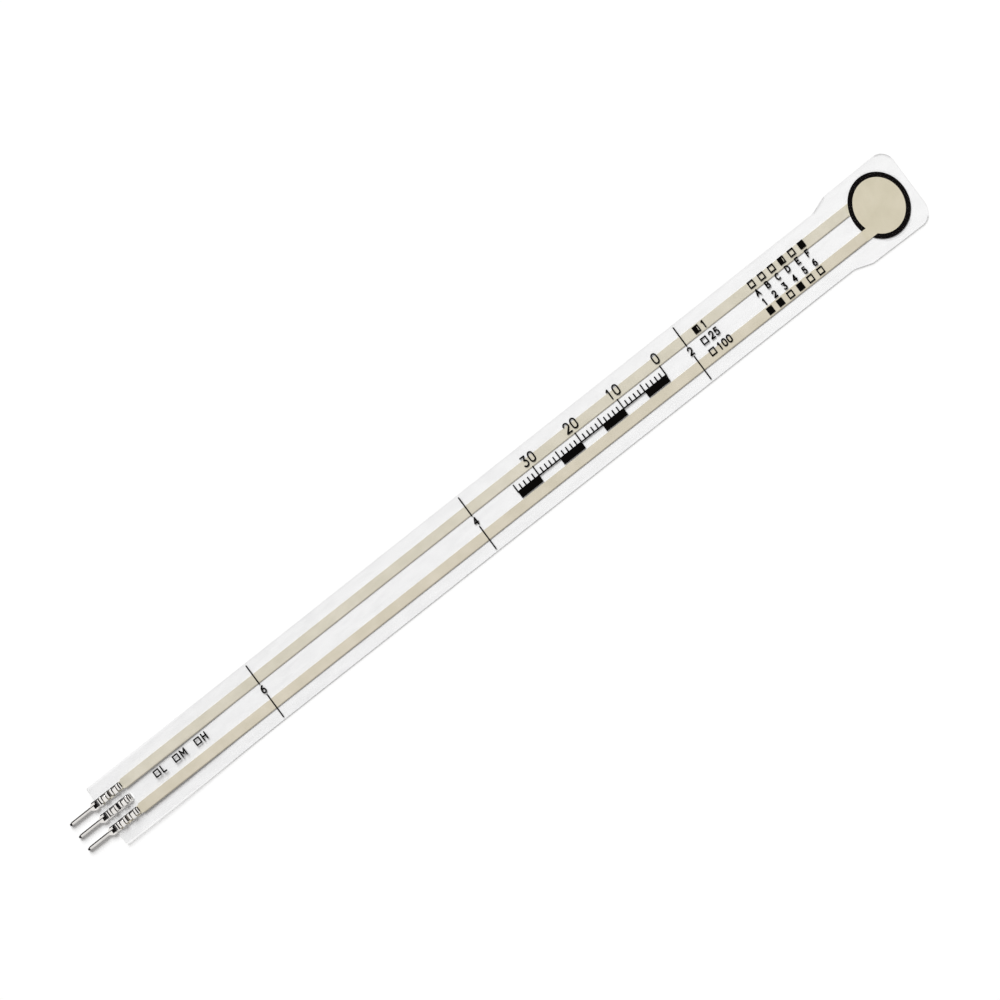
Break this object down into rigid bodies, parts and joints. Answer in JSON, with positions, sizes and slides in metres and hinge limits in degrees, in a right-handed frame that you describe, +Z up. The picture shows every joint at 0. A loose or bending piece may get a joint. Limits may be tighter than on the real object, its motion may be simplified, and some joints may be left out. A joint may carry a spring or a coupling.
{
  "type": "flexible force sensor",
  "caption": "Thin clear strip with a round force-sensing area in a wider head, two printed silver leads and crimped square pins at the far end.",
  "frame": {"origin": "under the centre of the round sensing area, on the bench that the strip lies on", "axes": "+X along the strip from the sensing head to the pins, +Z up on the printed side"},
  "size_m": [0.197, 0.014, 0.0009],
  "materials": {
    "clear_film": "clear, faintly grey, smooth",
    "clear_adhesive": "clear, smooth",
    "printed_silver": "matt beige silver ink",
    "pressure_ink": "matt black",
    "tinned_contact": "bright tin plate",
    "black_print": "black screen print"
  },
  "bodies": {
    "root": {"bottom_film": "clear_film", "lower_electrode": "printed_silver", "lower_ink_dot": "pressure_ink", "adhesive_layer": "clear_adhesive", "upper_ink_dot": "pressure_ink", "upper_electrode": "printed_silver", "top_film": "clear_film", "contact_left": "tinned_contact", "contact_centre": "tinned_contact", "contact_right": "tinned_contact", "cut_mark_2": "black_print", "cut_mark_4": "black_print", "cut_mark_6": "black_print", "batch_boxes_upper": "black_print", "batch_boxes_lower": "black_print", "range_boxes": "black_print", "grade_boxes": "black_print", "length_scale": "black_print"}
  },
  "joints": []
}
